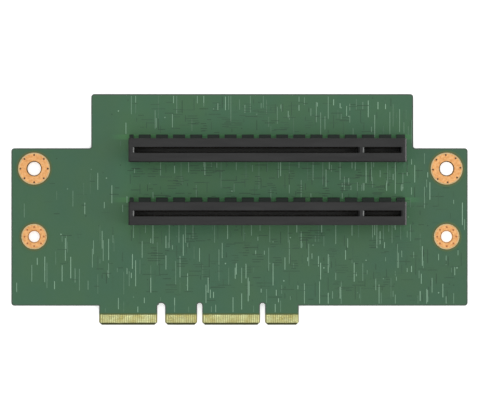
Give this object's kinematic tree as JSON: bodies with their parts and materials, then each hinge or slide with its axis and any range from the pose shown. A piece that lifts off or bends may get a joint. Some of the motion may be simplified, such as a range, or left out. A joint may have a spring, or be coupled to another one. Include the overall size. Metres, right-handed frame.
{
  "type": "riser card",
  "caption": "Riser card for a server: a stepped green circuit board with black expansion card slots, copper-ringed mounting holes and a row of gold edge fingers.",
  "frame": {"origin": "centre of the card's bounding box, level with the tips of the solder joints that the card lies on", "axes": "+X along the card's length, to the right with the edge fingers towards the viewer; +Y from the edge fingers to the raised block; +Z out of the face that carries the slots"},
  "size_m": [0.1476, 0.0746, 0.0138],
  "materials": {
    "board_mask": "satin green solder mask over fibreglass laminate",
    "ring_copper": "bare copper with a clear preservative",
    "finger_gold": "hard gold plating",
    "housing_plastic": "black moulded glass-filled plastic",
    "contact_metal": "plated spring bronze",
    "solder": "tin solder"
  },
  "bodies": {
    "root": {"circuit_board": "board_mask", "mounting_ring_upper_left": "ring_copper", "mounting_ring_upper_right": "ring_copper", "mounting_ring_lower_left": "ring_copper", "mounting_ring_lower_right": "ring_copper", "front_fingers_first_tab": "finger_gold", "front_fingers_second_tab": "finger_gold", "front_fingers_third_tab": "finger_gold", "front_fingers_fourth_tab": "finger_gold", "back_fingers_first_tab": "finger_gold", "back_fingers_second_tab": "finger_gold", "back_fingers_third_tab": "finger_gold", "back_fingers_fourth_tab": "finger_gold", "upper_slot_housing": "housing_plastic", "lower_slot_housing": "housing_plastic", "upper_slot_contacts_far": "contact_metal", "upper_slot_contacts_near": "contact_metal", "lower_slot_contacts_far": "contact_metal", "lower_slot_contacts_near": "contact_metal", "upper_slot_solder_joints": "solder", "lower_slot_solder_joints": "solder"}
  },
  "joints": []
}
